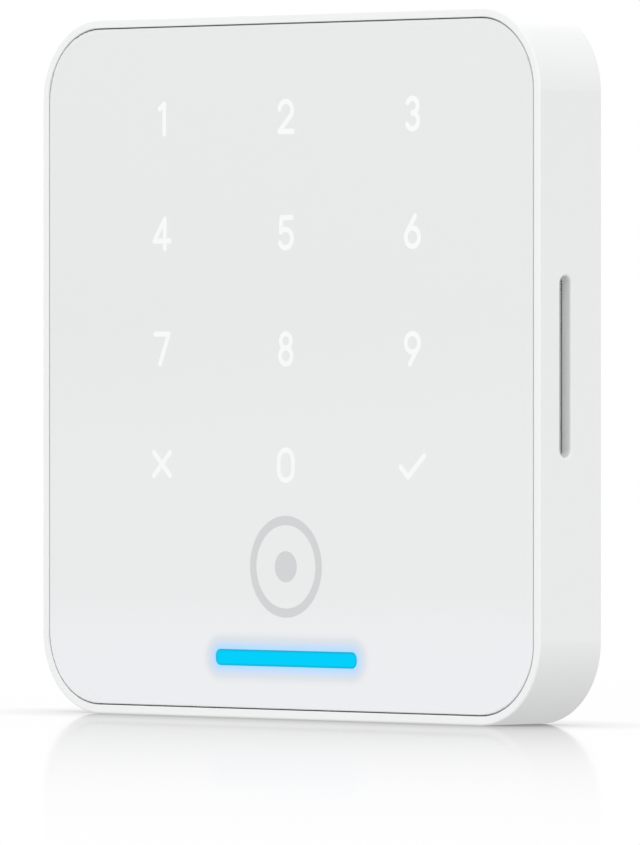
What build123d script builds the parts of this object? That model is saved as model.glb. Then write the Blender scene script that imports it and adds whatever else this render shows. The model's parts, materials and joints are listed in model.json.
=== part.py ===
from build123d import *
import os

# Keypad access reader on its wall plate.
# X runs to the right as the user faces the keypad, Z runs up and Y runs into the wall.
# The origin is the centre of the wall plate's back face. Sizes are millimetres, and every
# depth is counted from the front face towards the wall.

# Outside
SIZE = 86.0
CORNER_R = 10.0
BODY_DEPTH = 11.0
WALL_SHADOW = 0.2
EDGE_R = 0.25
RIM_EDGE_R = 0.12
BACK_CHAMFER = 0.3

# Front panel and what shows through it
RIM = 1.1
PANEL_GAP = 0.15
PANEL_EDGE_R = 0.15
KEY_PITCH_X = 21.65
KEY_PITCH_Z = 14.17
TOP_ROW_Z = 30.5
KEY_ROWS = ("123", "456", "789", "x0v")
PEN = 0.65
INLAY = 0.3
TAP_MARK_Z = -24.4
TAP_RING_R = 6.2
TAP_RING_WIDTH = 1.1
TAP_DOT_R = 1.9
BAR_Z = -35.6
BAR_LENGTH = 24.3
BAR_HEIGHT = 1.92
BAR_END_R = 0.8
LENS_GAP = 0.04

# Layers, by the depth of their back faces
PANEL_BACK = 1.6
LEDGE = 1.9
TOUCH_BACK = 2.9
FRAME_BACK = 4.9
BOARD_BACK = 5.9
SEAL_FRONT = 7.4
COVER_FRONT = 8.2
COVER_BACK = 9.4
PLATE_FRONT = 9.8
FOIL = 0.1

# Housing inside
OPENING = 79.4
OPENING_R = 6.8
RECESS = 82.0
RECESS_R = 8.0
CORNER_BLOCK = 6.3
CORNER_BLOCK_FRONT = 3.1
COVER_SCREW_AT = 36.4
COVER_SCREW_R = 1.0
COVER_SCREW_HEAD_R = 1.8
COVER_SCREW_HEAD_T = 1.0
COVER_SCREW_FRONT = 4.0
SCREW_FIT = 0.1
DRIVE_R = 0.8
DRIVE_DEPTH = 0.7
BOARD = 78.4
BOARD_R = 6.3
BOARD_CORNER = 6.2

# Sound slot in the right-hand wall
SLOT_LENGTH = 21.7
SLOT_WIDTH = 1.84
SLOT_DEPTH = 4.45
SLOT_EDGE_R = 0.3
SLOT_WALL = 1.5
SOUND_BAY = 25.2
SOUND_BAY_X = 28.0
SOUND_FRONT = 3.15
SOUND_BACK = 6.0
MESH_LENGTH = 24.8
MESH_T = 0.2
GASKET_T = 1.7

# Rear hump and network jack
HUMP = 46.0
HUMP_R = 4.0
HUMP_WALL = 1.5
HUMP_BACK = 24.0
JACK_Z = -8.0
JACK_WIDTH = 16.0
JACK_HEIGHT = 14.5
JACK_SHEET = 0.3
JACK_FIT = 0.1
JACK_BEVEL = 0.5

# Wall plate, hooks and lift-off travel
LIFT = 3.5
PLATE_WIDTH = 78.0
PLATE_TOP = 40.0
PLATE_BOTTOM = -35.9
PLATE_R = 6.0
PLATE_EDGE_R = 0.25
CLEAR = 0.3
HOOK_X = 29.0
HOOK_WEB_Z = (26.0, -24.0)
HOOK_WIDTH = 6.0
HOOK_T = 1.2
HOOK_REACH = 2.8
HOOK_FRONT = 6.75
POCKET_FRONT = 6.5
POCKET_SKIN = 0.5
POCKET_WALL = 0.8
FIXING_X = 30.15
FIXING_HOLE_R = 2.0
FIXING_SLOT = 8.0
HEAD_SPACE = 11.4
HEAD_HEIGHT = 7.6
HEAD_FRONT = 7.3

# Lock screw at the bottom edge
LOCK_DEPTH = 6.4
LOCK_HEAD_R = 2.7
LOCK_HEAD_T = 1.4
LOCK_SHANK_R = 1.5
LOCK_TIP_Z = -36.5
WASHER_T = 0.3
WASHER_FIT = 0.05
TAB_TOP = -40.0
TAB_T = 1.2
TAB_WIDTH = 9.6
TAB_FRONT = 3.6
NOTCH_WIDTH = 10.6
NOTCH_FRONT = 3.1
BOSS_WIDTH = 9.0
BOSS_FRONT = 3.9
BOSS_TOP = -34.4
BOSS_BOTTOM = -39.5
INSERT_R = 2.0
INSERT_LENGTH = 4.0

# Tamper plunger and reset button
TAMPER_X = 20.0
TAMPER_Z = 34.2
TAMPER_R = 1.3
TAMPER_TRAVEL = 1.2
TAMPER_FLANGE_R = 2.1
RESET_X = -20.0
RESET_Z = 34.2
RESET_R = 1.7

os.makedirs("parts", exist_ok=True)


def behind(depth):
    """Plane that faces the user, this far behind the front face."""
    return Plane.XZ.offset(BODY_DEPTH - depth)


def at_key(x, z):
    """Plane on the front face with its origin at a key."""
    return Plane(origin=(x, -BODY_DEPTH, z), x_dir=(1, 0, 0), z_dir=(0, -1, 0))


def layer(width, height, radius, front, back, centre=(0, 0), mode=Mode.ADD):
    """Rounded rectangle between two depths."""
    with BuildSketch(behind(front)) as outline:
        with Locations(centre):
            RectangleRounded(width, height, radius)
    extrude(outline.sketch, amount=front - back, mode=mode)


def block(x_range, z_range, front, back, mode=Mode.ADD):
    """Square-cornered block from its X and Z limits and two depths."""
    with BuildSketch(behind(front)) as outline:
        with Locations(((x_range[0] + x_range[1]) / 2, (z_range[0] + z_range[1]) / 2)):
            Rectangle(x_range[1] - x_range[0], z_range[1] - z_range[0])
    extrude(outline.sketch, amount=front - back, mode=mode)


def discs(centres, radius, front, back, mode=Mode.ADD):
    """Equal discs or holes between two depths."""
    with BuildSketch(behind(front)) as outline:
        with Locations(*centres):
            Circle(radius)
    extrude(outline.sketch, amount=front - back, mode=mode)


def hex_recesses(centres, back):
    """Hexagon sockets cut into screw heads from behind."""
    for centre in centres:
        with BuildSketch(behind(back)) as recess:
            with Locations(centre):
                RegularPolygon(DRIVE_R, 6)
        extrude(recess.sketch, amount=DRIVE_DEPTH, mode=Mode.SUBTRACT)


def square_of(offset):
    """Four points at the corners of a square."""
    return [(x, z) for x in (-offset, offset) for z in (-offset, offset)]


def write(name, piece):
    """Label a finished piece and save it."""
    piece.part.label = name
    export_step(piece.part, f"parts/{name}.step")


# Every key legend is drawn with one round pen: rings, straight strokes and arcs
# (centre, radius, start angle, sweep), in millimetres from the key's centre.
PEN_TOP = 1.84
BOWL_Z = 0.72
BOWL_R = 1.12
LEGENDS = {
    "1": {"strokes": [((0.4, -PEN_TOP), (0.4, PEN_TOP)), ((0.4, PEN_TOP), (-0.4, 1.25))]},
    "2": {
        "arcs": [((0, 0.74), 1.1, -32, 202)],
        "strokes": [((0.93, 0.16), (-1.15, -PEN_TOP)), ((-1.15, -PEN_TOP), (1.2, -PEN_TOP))],
    },
    "3": {"arcs": [((0, 0.95), 0.89, -90, 245), ((0, -0.87), 0.97, -155, 245)]},
    "4": {
        "strokes": [
            ((0.5, PEN_TOP), (-1.35, -0.85)),
            ((-1.35, -0.85), (1.35, -0.85)),
            ((0.5, PEN_TOP), (0.5, -PEN_TOP)),
        ]
    },
    "5": {
        "arcs": [((-0.05, -BOWL_Z), BOWL_R, -150, 285)],
        "strokes": [((1.0, PEN_TOP), (-0.75, PEN_TOP)), ((-0.75, PEN_TOP), (-0.86, 0.07))],
    },
    "6": {"rings": [((0, -BOWL_Z), BOWL_R)], "strokes": [((-0.98, -0.18), (0.45, PEN_TOP))]},
    "7": {"strokes": [((-1.2, PEN_TOP), (1.2, PEN_TOP)), ((1.2, PEN_TOP), (-0.35, -PEN_TOP))]},
    "8": {"rings": [((0, 0.97), 0.87), ((0, -0.85), 0.99)]},
    "9": {"rings": [((0, BOWL_Z), BOWL_R)], "strokes": [((0.98, 0.18), (-0.45, -PEN_TOP))]},
    "0": {"arcs": [((0, 0.62), 1.22, 0, 180), ((0, -0.62), 1.22, 180, 180)],
          "strokes": [((-1.22, -0.62), (-1.22, 0.62)), ((1.22, -0.62), (1.22, 0.62))]},
    "x": {"strokes": [((-1.42, -1.42), (1.42, 1.42)), ((-1.42, 1.42), (1.42, -1.42))]},
    "v": {"strokes": [((-2.0, -0.1), (-0.75, -1.28)), ((-0.75, -1.28), (2.0, 1.28))]},
}


def draw_legend(drawing):
    """Add one legend's pen strokes to the sketch in hand."""
    for centre, radius in drawing.get("rings", []):
        with Locations(centre):
            Circle(radius + PEN / 2)
    for centre, radius in drawing.get("rings", []):
        with Locations(centre):
            Circle(radius - PEN / 2, mode=Mode.SUBTRACT)
    for start, end in drawing.get("strokes", []):
        run = Vector(*end) - Vector(*start)
        slope = Vector(1, 0, 0).get_signed_angle(run, Vector(0, 0, 1))
        with Locations(((start[0] + end[0]) / 2, (start[1] + end[1]) / 2)):
            SlotCenterToCenter(run.length, PEN, rotation=slope)
    for centre, radius, start_angle, sweep in drawing.get("arcs", []):
        SlotArc(Edge.make_circle(radius, Plane(centre + (0,)), start_angle, start_angle + sweep), PEN)


KEYS = [
    (legend, (column - 1) * KEY_PITCH_X, TOP_ROW_Z - row * KEY_PITCH_Z)
    for row, legends in enumerate(KEY_ROWS)
    for column, legend in enumerate(legends)
]
KEY_CENTRES = [(x, z) for _, x, z in KEYS]
APERTURE = SIZE - 2 * RIM
PANEL = APERTURE - 2 * PANEL_GAP
NOTCH = (-NOTCH_WIDTH / 2, NOTCH_WIDTH / 2)

# ---- what the user sees: panel, legends, tap mark and light bar ----

legend_sketches = []
for legend, key_x, key_z in KEYS:
    with BuildSketch(at_key(key_x, key_z)) as legend_sketch:
        draw_legend(LEGENDS[legend])
    legend_sketches.append(legend_sketch.sketch)

with BuildSketch(at_key(0, TAP_MARK_Z)) as tap_sketch:
    Circle(TAP_RING_R)
    Circle(TAP_RING_R - TAP_RING_WIDTH, mode=Mode.SUBTRACT)
    Circle(TAP_DOT_R)

with BuildPart() as front_panel:
    layer(PANEL, PANEL, CORNER_R - RIM - PANEL_GAP, 0, PANEL_BACK)
    front_face = front_panel.faces().sort_by(Axis.Y)[0]
    fillet(front_face.outer_wire().edges(), PANEL_EDGE_R)
    for sketch in legend_sketches:
        extrude(sketch, amount=-INLAY, mode=Mode.SUBTRACT)
    extrude(tap_sketch.sketch, amount=-INLAY, mode=Mode.SUBTRACT)
    layer(BAR_LENGTH + 2 * LENS_GAP, BAR_HEIGHT + 2 * LENS_GAP, BAR_END_R + LENS_GAP,
          0, PANEL_BACK, (0, BAR_Z), mode=Mode.SUBTRACT)
write("front_panel", front_panel)

with BuildPart() as key_legends:
    for sketch in legend_sketches:
        extrude(sketch, amount=-INLAY)
write("key_legends", key_legends)

with BuildPart() as tap_mark:
    extrude(tap_sketch.sketch, amount=-INLAY)
write("tap_mark", tap_mark)

with BuildPart() as light_bar_lens:
    layer(BAR_LENGTH, BAR_HEIGHT, BAR_END_R, 0, PANEL_BACK, (0, BAR_Z))
write("light_bar_lens", light_bar_lens)

# ---- housing ----

with BuildPart() as front_housing:
    layer(SIZE, SIZE, CORNER_R, 0, BODY_DEPTH - WALL_SHADOW)
    fillet(front_housing.faces().sort_by(Axis.Y)[0].outer_wire().edges(), EDGE_R)
    chamfer(front_housing.faces().sort_by(Axis.Y)[-1].outer_wire().edges(), BACK_CHAMFER)
    layer(APERTURE, APERTURE, CORNER_R - RIM, 0, LEDGE, mode=Mode.SUBTRACT)
    layer(OPENING, OPENING, OPENING_R, LEDGE, SEAL_FRONT, mode=Mode.SUBTRACT)
    layer(RECESS, RECESS, RECESS_R, SEAL_FRONT, BODY_DEPTH, mode=Mode.SUBTRACT)
    rim_edges = front_housing.faces().sort_by(Axis.Y)[0].inner_wires()[0].edges()
    fillet(rim_edges, RIM_EDGE_R)
    for sx in (-1, 1):
        for sz in (-1, 1):
            span_x = sorted((sx * (OPENING / 2 - CORNER_BLOCK), sx * (OPENING / 2 + CLEAR)))
            span_z = sorted((sz * (OPENING / 2 - CORNER_BLOCK), sz * (OPENING / 2 + CLEAR)))
            block(span_x, span_z, CORNER_BLOCK_FRONT, SEAL_FRONT)
    discs(square_of(COVER_SCREW_AT), COVER_SCREW_R, COVER_SCREW_FRONT - CLEAR, SEAL_FRONT,
          mode=Mode.SUBTRACT)
    with BuildSketch(Plane.YZ.offset(SIZE / 2)) as side_slot:
        with Locations((SLOT_DEPTH - BODY_DEPTH, 0)):
            SlotOverall(SLOT_LENGTH, SLOT_WIDTH, rotation=90)
    extrude(side_slot.sketch, amount=-(SIZE - OPENING) / 2 - CLEAR, mode=Mode.SUBTRACT)
    fillet(front_housing.faces().sort_by(Axis.X)[-1].inner_wires()[0].edges(), SLOT_EDGE_R)
    block((OPENING / 2 - CLEAR, SIZE / 2 - SLOT_WALL), (-MESH_LENGTH / 2, MESH_LENGTH / 2),
          SOUND_FRONT, SOUND_BACK, mode=Mode.SUBTRACT)
    block(NOTCH, (-SIZE, -OPENING / 2 + CLEAR), NOTCH_FRONT, BODY_DEPTH, mode=Mode.SUBTRACT)
write("front_housing", front_housing)

# ---- layers behind the panel ----

with BuildPart() as panel_adhesive:
    layer(PANEL, PANEL, CORNER_R - RIM - PANEL_GAP, PANEL_BACK, LEDGE)
    layer(OPENING, OPENING, OPENING_R, PANEL_BACK, LEDGE, mode=Mode.SUBTRACT)
write("panel_adhesive", panel_adhesive)

with BuildPart() as diffuser_film:
    layer(BOARD, BOARD, BOARD_R, PANEL_BACK, LEDGE)
write("diffuser_film", diffuser_film)

ELECTRODE_R = 5.6
WINDOW_R = 3.0
LED_WINDOW_R = 0.8
LED_WELL = 2.08
STATUS_LED_X = [-10, -6, -2, 2, 6, 10]
COIL_WIDTH = 58.0
COIL_HEIGHT = 14.6
COIL_TURNS = 4
COIL_PITCH = 0.9
COIL_TRACK = 0.5


def electrode_rings(mode=Mode.ADD):
    """Ring of foil round each key window, in the touch board's front face."""
    with BuildSketch(behind(LEDGE)) as rings:
        with Locations(*KEY_CENTRES):
            Circle(ELECTRODE_R)
            Circle(WINDOW_R + CLEAR, mode=Mode.SUBTRACT)
    extrude(rings.sketch, amount=-FOIL, mode=mode)


def coil_turns(mode=Mode.ADD):
    """Nested rectangular turns of the reading coil, in the touch board's back face."""
    for turn in range(COIL_TURNS):
        inset = 2 * turn * COIL_PITCH
        with BuildSketch(behind(TOUCH_BACK - FOIL)) as track:
            with Locations((0, TAP_MARK_Z)):
                RectangleRounded(COIL_WIDTH - inset, COIL_HEIGHT - inset, 2.5)
                RectangleRounded(COIL_WIDTH - inset - 2 * COIL_TRACK,
                                 COIL_HEIGHT - inset - 2 * COIL_TRACK, 2.0, mode=Mode.SUBTRACT)
        extrude(track.sketch, amount=-FOIL, mode=mode)


with BuildPart() as touch_board:
    layer(BOARD, BOARD, BOARD_R, LEDGE, TOUCH_BACK)
    discs(KEY_CENTRES, WINDOW_R, LEDGE, TOUCH_BACK, mode=Mode.SUBTRACT)
    discs([(0, TAP_MARK_Z)], TAP_DOT_R, LEDGE, TOUCH_BACK, mode=Mode.SUBTRACT)
    discs([(x, BAR_Z) for x in STATUS_LED_X], LED_WINDOW_R, LEDGE, TOUCH_BACK, mode=Mode.SUBTRACT)
    electrode_rings(Mode.SUBTRACT)
    coil_turns(Mode.SUBTRACT)
write("touch_board", touch_board)

with BuildPart() as touch_electrodes:
    electrode_rings()
write("touch_electrodes", touch_electrodes)

with BuildPart() as antenna_coil:
    coil_turns()
write("antenna_coil", antenna_coil)

FERRITE_T = 0.2
FERRITE_MARGIN = 2.0
with BuildPart() as ferrite_sheet:
    layer(COIL_WIDTH + FERRITE_MARGIN, COIL_HEIGHT + FERRITE_MARGIN, 1.0,
          TOUCH_BACK, TOUCH_BACK + FERRITE_T, (0, TAP_MARK_Z))
    discs([(0, TAP_MARK_Z)], TAP_DOT_R, TOUCH_BACK, FRAME_BACK, mode=Mode.SUBTRACT)
write("ferrite_sheet", ferrite_sheet)

WELL = 9.6
BOARD_SCREWS = [(-36.6, -20), (-36.6, 20), (36.6, -20), (36.6, 20)]
BOARD_SCREW_R = 0.9
BOARD_SCREW_HEAD_R = 1.7
BOARD_SCREW_HEAD_T = 1.1
CONNECTOR_Z = 35.9
CONNECTOR_LENGTH = 16.0
CONNECTOR_WIDTH = 2.8
CONNECTOR_SPLIT = 3.9
BOSS_SPACE = 10.2


def board_outline(front, back):
    """Board shape cut round the corner blocks, the sound bay and the lock boss."""
    layer(BOARD, BOARD, 1.0, front, back)
    inner = BOARD / 2 - BOARD_CORNER + 0.4
    for sx in (-1, 1):
        for sz in (-1, 1):
            span_x = sorted((sx * inner, sx * BOARD))
            span_z = sorted((sz * inner, sz * BOARD))
            block(span_x, span_z, front, back, mode=Mode.SUBTRACT)
    block((SOUND_BAY_X, BOARD), (-SOUND_BAY / 2, SOUND_BAY / 2), front, back, mode=Mode.SUBTRACT)
    block((-BOSS_SPACE / 2, BOSS_SPACE / 2), (-BOARD, BOSS_TOP + CLEAR), front, back,
          mode=Mode.SUBTRACT)


with BuildPart() as backlight_frame:
    board_outline(TOUCH_BACK, FRAME_BACK)
    for centre in KEY_CENTRES:
        layer(WELL, WELL, 1.5, TOUCH_BACK, FRAME_BACK, centre, mode=Mode.SUBTRACT)
    ferrite_bed = FERRITE_MARGIN + CLEAR
    layer(COIL_WIDTH + ferrite_bed, COIL_HEIGHT + ferrite_bed, 1.0,
          TOUCH_BACK, TOUCH_BACK + FERRITE_T, (0, TAP_MARK_Z), mode=Mode.SUBTRACT)
    discs([(0, TAP_MARK_Z)], WELL / 2, TOUCH_BACK, FRAME_BACK, mode=Mode.SUBTRACT)
    layer(BAR_LENGTH, LED_WELL, BAR_END_R, TOUCH_BACK, FRAME_BACK, (0, BAR_Z), mode=Mode.SUBTRACT)
    layer(CONNECTOR_LENGTH + 1, CONNECTOR_WIDTH + 1, 0.5, TOUCH_BACK, FRAME_BACK,
          (0, CONNECTOR_Z), mode=Mode.SUBTRACT)
    discs(BOARD_SCREWS, BOARD_SCREW_R, TOUCH_BACK, FRAME_BACK, mode=Mode.SUBTRACT)
write("backlight_frame", backlight_frame)

with BuildPart() as board_plug:
    layer(CONNECTOR_LENGTH, CONNECTOR_WIDTH, 0.3, TOUCH_BACK, CONNECTOR_SPLIT, (0, CONNECTOR_Z))
write("board_plug", board_plug)

with BuildPart() as board_socket:
    layer(CONNECTOR_LENGTH, CONNECTOR_WIDTH, 0.3, CONNECTOR_SPLIT, FRAME_BACK, (0, CONNECTOR_Z))
write("board_socket", board_socket)

LED_T = 0.7
KEY_LED = (1.6, 0.8)
STATUS_LED = (2.0, 1.8)
LED_R = 0.1
with BuildPart() as key_leds:
    for centre in KEY_CENTRES + [(0, TAP_MARK_Z)]:
        layer(*KEY_LED, LED_R, FRAME_BACK - LED_T, FRAME_BACK, centre)
write("key_leds", key_leds)

with BuildPart() as status_leds:
    for led_x in STATUS_LED_X:
        layer(*STATUS_LED, LED_R, TOUCH_BACK, TOUCH_BACK + LED_T, (led_x, BAR_Z))
write("status_leds", status_leds)

# ---- main board and the parts on its back ----

with BuildPart() as main_board:
    board_outline(FRAME_BACK, BOARD_BACK)
    discs(BOARD_SCREWS, BOARD_SCREW_R + SCREW_FIT, FRAME_BACK, BOARD_BACK, mode=Mode.SUBTRACT)
write("main_board", main_board)

with BuildPart() as board_screws:
    discs(BOARD_SCREWS, BOARD_SCREW_R, TOUCH_BACK + CLEAR, BOARD_BACK)
    discs(BOARD_SCREWS, BOARD_SCREW_HEAD_R, BOARD_BACK, BOARD_BACK + BOARD_SCREW_HEAD_T)
    hex_recesses(BOARD_SCREWS, BOARD_BACK + BOARD_SCREW_HEAD_T)
write("board_screws", board_screws)

SHIELD_Z = 30.4
SHIELD_WIDTH = 24.0
SHIELD_HEIGHT = 13.0
SHIELD_R = 0.8
SHIELD_BACK = 7.8
SHIELD_T = 0.2
with BuildPart() as rf_shield_can:
    layer(SHIELD_WIDTH, SHIELD_HEIGHT, SHIELD_R, BOARD_BACK, SHIELD_BACK, (0, SHIELD_Z))
    layer(SHIELD_WIDTH - 2 * SHIELD_T, SHIELD_HEIGHT - 2 * SHIELD_T, SHIELD_R - SHIELD_T,
          BOARD_BACK, SHIELD_BACK - SHIELD_T, (0, SHIELD_Z), mode=Mode.SUBTRACT)
write("rf_shield_can", rf_shield_can)

CHIPS = {
    "processor_chip": (10.0, 10.0, 0.9, (-4.5, SHIELD_Z)),
    "memory_chip": (8.0, 6.0, 0.8, (6.5, SHIELD_Z)),
    "nfc_chip": (5.0, 5.0, 0.8, (0, -29.5)),
    "bluetooth_module": (13.0, 9.0, 1.9, (-14.5, -32.5)),
}
for chip_name, (width, height, thickness, centre) in CHIPS.items():
    with BuildPart() as chip:
        layer(width, height, 0.2, BOARD_BACK, BOARD_BACK + thickness, centre)
    write(chip_name, chip)

TRANSFORMER_AT = (-11.5, 13.0)
TRANSFORMER_FLANGE = 14.0
TRANSFORMER_WINDING = (11.0, 12.0)
TRANSFORMER_DEPTHS = (BOARD_BACK, 7.4, 14.5, 15.6)
with BuildPart() as power_transformer:
    base_front, base_back, top_front, top_back = TRANSFORMER_DEPTHS
    layer(TRANSFORMER_FLANGE, TRANSFORMER_FLANGE, 0.4, base_front, base_back, TRANSFORMER_AT)
    layer(*TRANSFORMER_WINDING, 1.0, base_back, top_front, TRANSFORMER_AT)
    layer(TRANSFORMER_FLANGE, TRANSFORMER_FLANGE, 0.4, top_front, top_back, TRANSFORMER_AT)
write("power_transformer", power_transformer)

INDUCTOR_AT = (-15.5, -9.0)
INDUCTOR_SIDE = 7.0
INDUCTOR_BACK = 10.0
with BuildPart() as power_inductor:
    layer(INDUCTOR_SIDE, INDUCTOR_SIDE, 1.2, BOARD_BACK, INDUCTOR_BACK, INDUCTOR_AT)
write("power_inductor", power_inductor)

CAPACITORS = [(15.2, -10.5), (15.2, -1.0), (15.2, 8.5)]
CAPACITOR_R = 3.15
CAPACITOR_FOOT = 6.6
CAPACITOR_FOOT_T = 0.8
CAPACITOR_T = 7.7
with BuildPart() as power_capacitors:
    for centre in CAPACITORS:
        layer(CAPACITOR_FOOT, CAPACITOR_FOOT, 0.6, BOARD_BACK, BOARD_BACK + CAPACITOR_FOOT_T, centre)
    discs(CAPACITORS, CAPACITOR_R, BOARD_BACK + CAPACITOR_FOOT_T, BOARD_BACK + CAPACITOR_T)
write("power_capacitors", power_capacitors)

# ---- sounder behind the side slot ----

MESH_X = SIZE / 2 - SLOT_WALL - MESH_T
GASKET_LIP = 0.5
SOUNDER_LENGTH = 23.6
SOUNDER_BACK = 6.4
SOUNDER_WALL = 0.6
with BuildPart() as sound_mesh:
    block((MESH_X, MESH_X + MESH_T), (-MESH_LENGTH / 2, MESH_LENGTH / 2), SOUND_FRONT, SOUND_BACK)
write("sound_mesh", sound_mesh)

with BuildPart() as sounder_gasket:
    duct = MESH_LENGTH / 2 - GASKET_LIP
    block((MESH_X - GASKET_T, MESH_X), (-MESH_LENGTH / 2, MESH_LENGTH / 2), SOUND_FRONT, SOUND_BACK)
    block((MESH_X - GASKET_T, MESH_X), (-duct, duct), SOUND_FRONT + GASKET_LIP, SOUND_BACK - GASKET_LIP,
          mode=Mode.SUBTRACT)
write("sounder_gasket", sounder_gasket)

with BuildPart() as sounder:
    chamber = SOUNDER_LENGTH / 2 - 2 * SOUNDER_WALL
    block((SOUND_BAY_X + CLEAR, MESH_X - GASKET_T), (-SOUNDER_LENGTH / 2, SOUNDER_LENGTH / 2),
          SOUND_FRONT, SOUNDER_BACK)
    block((SOUND_BAY_X + CLEAR + 6 * SOUNDER_WALL, MESH_X), (-chamber, chamber),
          SOUND_FRONT + SOUNDER_WALL, SOUNDER_BACK - 2 * SOUNDER_WALL, mode=Mode.SUBTRACT)
write("sounder", sounder)

# ---- rear cover with hump, hook pockets, screw-head pockets and lock boss ----

COVER = 81.4
COVER_R = 7.7
HEAD_CENTRE_Z = -LIFT / 2
TAMPER = [(TAMPER_X, TAMPER_Z)]
RESET = [(RESET_X, RESET_Z)]
VENT = [(22.0, -34.0)]
VENT_R = 1.2
MEMBRANE_R = 3.1
HUMP_EDGE_R = 0.8

with BuildPart() as rear_cover:
    layer(COVER, COVER, COVER_R, COVER_FRONT, COVER_BACK)
    layer(HUMP, HUMP, HUMP_R, COVER_FRONT, HUMP_BACK)
    fillet(rear_cover.faces().sort_by(Axis.Y)[-1].outer_wire().edges(), HUMP_EDGE_R)
    inside = HUMP - 2 * HUMP_WALL
    layer(inside, inside, HUMP_R - HUMP_WALL, COVER_FRONT, HUMP_BACK - HUMP_WALL, mode=Mode.SUBTRACT)
    layer(JACK_WIDTH + 2 * JACK_FIT, JACK_HEIGHT + 2 * JACK_FIT, 0.3,
          HUMP_BACK - HUMP_WALL, HUMP_BACK, (0, JACK_Z), mode=Mode.SUBTRACT)
    chamfer(rear_cover.faces().sort_by(Axis.Y)[-1].inner_wires()[0].edges(), JACK_BEVEL)
    for side in (-1, 1):
        hook_x = side * HOOK_X
        half = HOOK_WIDTH / 2 + CLEAR
        for web_z in HOOK_WEB_Z:
            low = web_z - LIFT - CLEAR
            high = web_z + HOOK_T + HOOK_REACH + CLEAR
            block((hook_x - half - POCKET_WALL, hook_x + half + POCKET_WALL),
                  (low - POCKET_WALL, high + POCKET_WALL), POCKET_FRONT - POCKET_SKIN, COVER_FRONT)
            block((hook_x - half, hook_x + half), (low, high), POCKET_FRONT, COVER_FRONT,
                  mode=Mode.SUBTRACT)
            block((hook_x - half, hook_x + half), (low, web_z + HOOK_T + 0.1), COVER_FRONT, COVER_BACK,
                  mode=Mode.SUBTRACT)
        head_height = HEAD_HEIGHT + LIFT
        layer(HEAD_SPACE + 2 * POCKET_WALL, head_height + 2 * POCKET_WALL, 2.0,
              HEAD_FRONT - POCKET_SKIN, COVER_FRONT, (side * FIXING_X, HEAD_CENTRE_Z))
        layer(HEAD_SPACE, head_height, 1.5, HEAD_FRONT, COVER_BACK,
              (side * FIXING_X, HEAD_CENTRE_Z), mode=Mode.SUBTRACT)
    block(NOTCH, (-SIZE, BOSS_BOTTOM), COVER_FRONT, COVER_BACK, mode=Mode.SUBTRACT)
    block((-BOSS_WIDTH / 2, BOSS_WIDTH / 2), (BOSS_BOTTOM, BOSS_TOP), BOSS_FRONT, COVER_FRONT)
    with BuildSketch(Plane.XY.offset(BOSS_BOTTOM)) as insert_hole:
        with Locations((0, LOCK_DEPTH - BODY_DEPTH)):
            Circle(INSERT_R)
    extrude(insert_hole.sketch, amount=INSERT_LENGTH, mode=Mode.SUBTRACT)
    discs(square_of(COVER_SCREW_AT), COVER_SCREW_R + SCREW_FIT, COVER_FRONT, COVER_BACK,
          mode=Mode.SUBTRACT)
    discs(square_of(COVER_SCREW_AT), COVER_SCREW_HEAD_R + SCREW_FIT,
          COVER_BACK - COVER_SCREW_HEAD_T, COVER_BACK, mode=Mode.SUBTRACT)
    discs(TAMPER, TAMPER_R + CLEAR, COVER_FRONT, COVER_BACK, mode=Mode.SUBTRACT)
    discs(RESET, RESET_R + CLEAR, COVER_FRONT, COVER_BACK, mode=Mode.SUBTRACT)
    discs(VENT, VENT_R, COVER_FRONT, COVER_BACK, mode=Mode.SUBTRACT)
    discs(VENT, MEMBRANE_R + SCREW_FIT, COVER_BACK - CLEAR, COVER_BACK, mode=Mode.SUBTRACT)
write("rear_cover", rear_cover)

with BuildPart() as rear_gasket:
    layer(COVER, COVER, COVER_R, SEAL_FRONT, COVER_FRONT)
    layer(OPENING, OPENING, OPENING_R, SEAL_FRONT, COVER_FRONT, mode=Mode.SUBTRACT)
    block(NOTCH, (-SIZE, 0), SEAL_FRONT, COVER_FRONT, mode=Mode.SUBTRACT)
write("rear_gasket", rear_gasket)

with BuildPart() as cover_screws:
    discs(square_of(COVER_SCREW_AT), COVER_SCREW_R, COVER_SCREW_FRONT, COVER_BACK - COVER_SCREW_HEAD_T)
    discs(square_of(COVER_SCREW_AT), COVER_SCREW_HEAD_R, COVER_BACK - COVER_SCREW_HEAD_T, COVER_BACK)
    hex_recesses(square_of(COVER_SCREW_AT), COVER_BACK)
write("cover_screws", cover_screws)

with BuildPart() as vent_membrane:
    discs(VENT, MEMBRANE_R, COVER_BACK - CLEAR, COVER_BACK)
write("vent_membrane", vent_membrane)

LABEL = (34.0, 12.0)
LABEL_Z = 12.5
with BuildPart() as rating_label:
    layer(*LABEL, 1.0, HUMP_BACK, HUMP_BACK + FOIL, (0, LABEL_Z))
write("rating_label", rating_label)

# ---- network jack ----

SOCKET_WIDTH = 11.8
SOCKET_HEIGHT = 7.0
SOCKET_Z = JACK_Z + 0.9
SOCKET_FLOOR = 11.6
LATCH_WIDTH = 6.2
LATCH_DROP = 5.1
LATCH_TIP_WIDTH = 4.0
LATCH_TIP_DROP = 6.5
BODY_WIDTH = JACK_WIDTH - 2 * JACK_SHEET
BODY_HEIGHT = JACK_HEIGHT - 2 * JACK_SHEET
with BuildPart() as network_jack:
    layer(BODY_WIDTH, BODY_HEIGHT, 0.2, BOARD_BACK, HUMP_BACK, (0, JACK_Z))
    layer(SOCKET_WIDTH, SOCKET_HEIGHT, 0.2, SOCKET_FLOOR, HUMP_BACK, (0, SOCKET_Z), mode=Mode.SUBTRACT)
    for width, drop in ((LATCH_WIDTH, LATCH_DROP), (LATCH_TIP_WIDTH, LATCH_TIP_DROP)):
        block((-width / 2, width / 2), (SOCKET_Z - drop, SOCKET_Z), SOCKET_FLOOR, HUMP_BACK,
              mode=Mode.SUBTRACT)
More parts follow.
